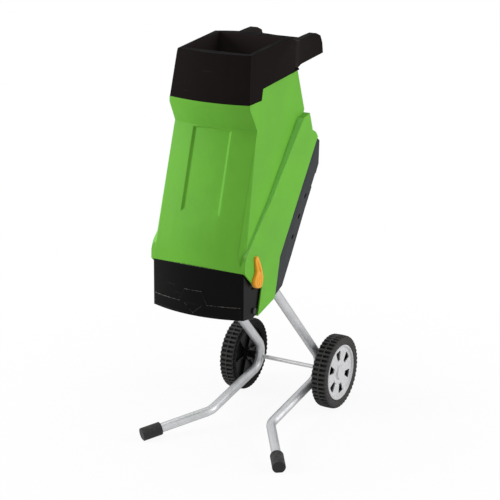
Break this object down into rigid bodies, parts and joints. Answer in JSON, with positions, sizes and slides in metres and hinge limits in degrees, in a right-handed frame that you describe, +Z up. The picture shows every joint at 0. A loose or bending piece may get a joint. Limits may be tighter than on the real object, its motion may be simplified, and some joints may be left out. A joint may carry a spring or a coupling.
{
  "type": "garden shredder",
  "caption": "Upright electric garden shredder: feed hopper over a leaning housing with cutter and motor, latched discharge flap, bent tube stand with wheels.",
  "frame": {"origin": "on the floor under the middle of the overall box", "axes": "+Z up, -Y the front with the discharge flap, +X the object's side that the picture shows"},
  "size_m": [0.388, 0.5209, 0.9261],
  "materials": {
    "steel_tube": "satin silver lacquer",
    "rubber": "matt moulded rubber",
    "steel": "plain steel",
    "dark_plastic": "fine grained",
    "tyre_rubber": "matt block tread",
    "silver_plastic": "silver grey",
    "green_plastic": "smooth satin gloss",
    "black_plastic": "smooth satin gloss",
    "grey_plastic": "fine grained",
    "orange_plastic": "smooth",
    "cast_alloy": "as cast",
    "hard_steel": "ground",
    "lamination": "varnished laminations",
    "copper": "drawn copper",
    "brass": "plain",
    "green_button": "smooth",
    "red_button": "smooth"
  },
  "bodies": {
    "frame": {"stand_tube_left": "steel_tube", "stand_tube_right": "steel_tube", "foot_cap_left": "rubber", "foot_cap_right": "rubber", "axle": "steel", "axle_spacers": "dark_plastic", "axle_clips": "steel", "stand_bracket": "cast_alloy", "stand_screws": "steel", "main_housing": "green_plastic", "hopper": "black_plastic", "hopper_screws": "steel", "feed_chute": "dark_plastic", "rear_cover": "grey_plastic", "cover_screws": "steel", "switch_plate": "dark_plastic", "mains_inlet": "dark_plastic", "inlet_pins": "brass", "flap_hinge_screws": "steel", "discharge_duct": "dark_plastic", "cutter_plate": "cast_alloy", "counter_knife": "hard_steel", "motor_case": "lamination", "motor_stator": "lamination", "front_bearing": "steel", "rear_bearing": "steel", "bearing_bracket": "cast_alloy", "brush_holders": "brass", "motor_screws": "steel", "safety_switch": "dark_plastic"},
    "wheel_left": {"tyre_left": "tyre_rubber", "wheel_rim_left": "dark_plastic", "wheel_cover_left": "silver_plastic"},
    "wheel_right": {"tyre_right": "tyre_rubber", "wheel_rim_right": "dark_plastic", "wheel_cover_right": "silver_plastic"},
    "rotor": {"cutting_disc": "hard_steel", "knives": "hard_steel", "knife_screws": "steel", "disc_bolt": "steel", "armature": "steel", "commutator": "copper", "cooling_fan": "dark_plastic"},
    "flap": {"discharge_flap": "black_plastic"},
    "lever_left": {"latch_lever_left": "orange_plastic", "latch_cam_left": "dark_plastic"},
    "lever_right": {"latch_lever_right": "orange_plastic", "latch_cam_right": "dark_plastic"},
    "on_push": {"on_button": "green_button"},
    "off_push": {"off_button": "red_button"},
    "reset_push": {"reset_button": "dark_plastic"}
  },
  "joints": [
    {"name": "wheel_left_spin", "type": "hinge", "parent": "frame", "child": "wheel_left", "pos_m": [-0.125, 0.17158, 0.089], "axis": [1, 0, 0], "continuous": true},
    {"name": "wheel_right_spin", "type": "hinge", "parent": "frame", "child": "wheel_right", "pos_m": [0.125, 0.17158, 0.089], "axis": [1, 0, 0], "continuous": true},
    {"name": "rotor_spin", "type": "hinge", "parent": "frame", "child": "rotor", "pos_m": [0, -0.05559, 0.61228], "axis": [0, -0.7826, 0.6225], "continuous": true},
    {"name": "flap_swing", "type": "hinge", "parent": "frame", "child": "flap", "pos_m": [0, -0.19258, 0.36907], "axis": [1, 0, 0], "range_deg": [0, 70]},
    {"name": "lever_left_turn", "type": "hinge", "parent": "frame", "child": "lever_left", "pos_m": [-0.118, -0.18058, 0.44157], "axis": [1, 0, 0], "range_deg": [0, 90]},
    {"name": "lever_right_turn", "type": "hinge", "parent": "frame", "child": "lever_right", "pos_m": [0.118, -0.18058, 0.44157], "axis": [1, 0, 0], "range_deg": [0, 90]},
    {"name": "on_press", "type": "slide", "parent": "frame", "child": "on_push", "axis": [0, -0.9972, -0.0754], "range_m": [0, 0.003], "stiffness_N_per_m": 400},
    {"name": "off_press", "type": "slide", "parent": "frame", "child": "off_push", "axis": [0, -0.9972, -0.0754], "range_m": [0, 0.003], "stiffness_N_per_m": 400},
    {"name": "reset_press", "type": "slide", "parent": "frame", "child": "reset_push", "axis": [0, -0.9972, -0.0754], "range_m": [0, 0.003], "stiffness_N_per_m": 400}
  ]
}
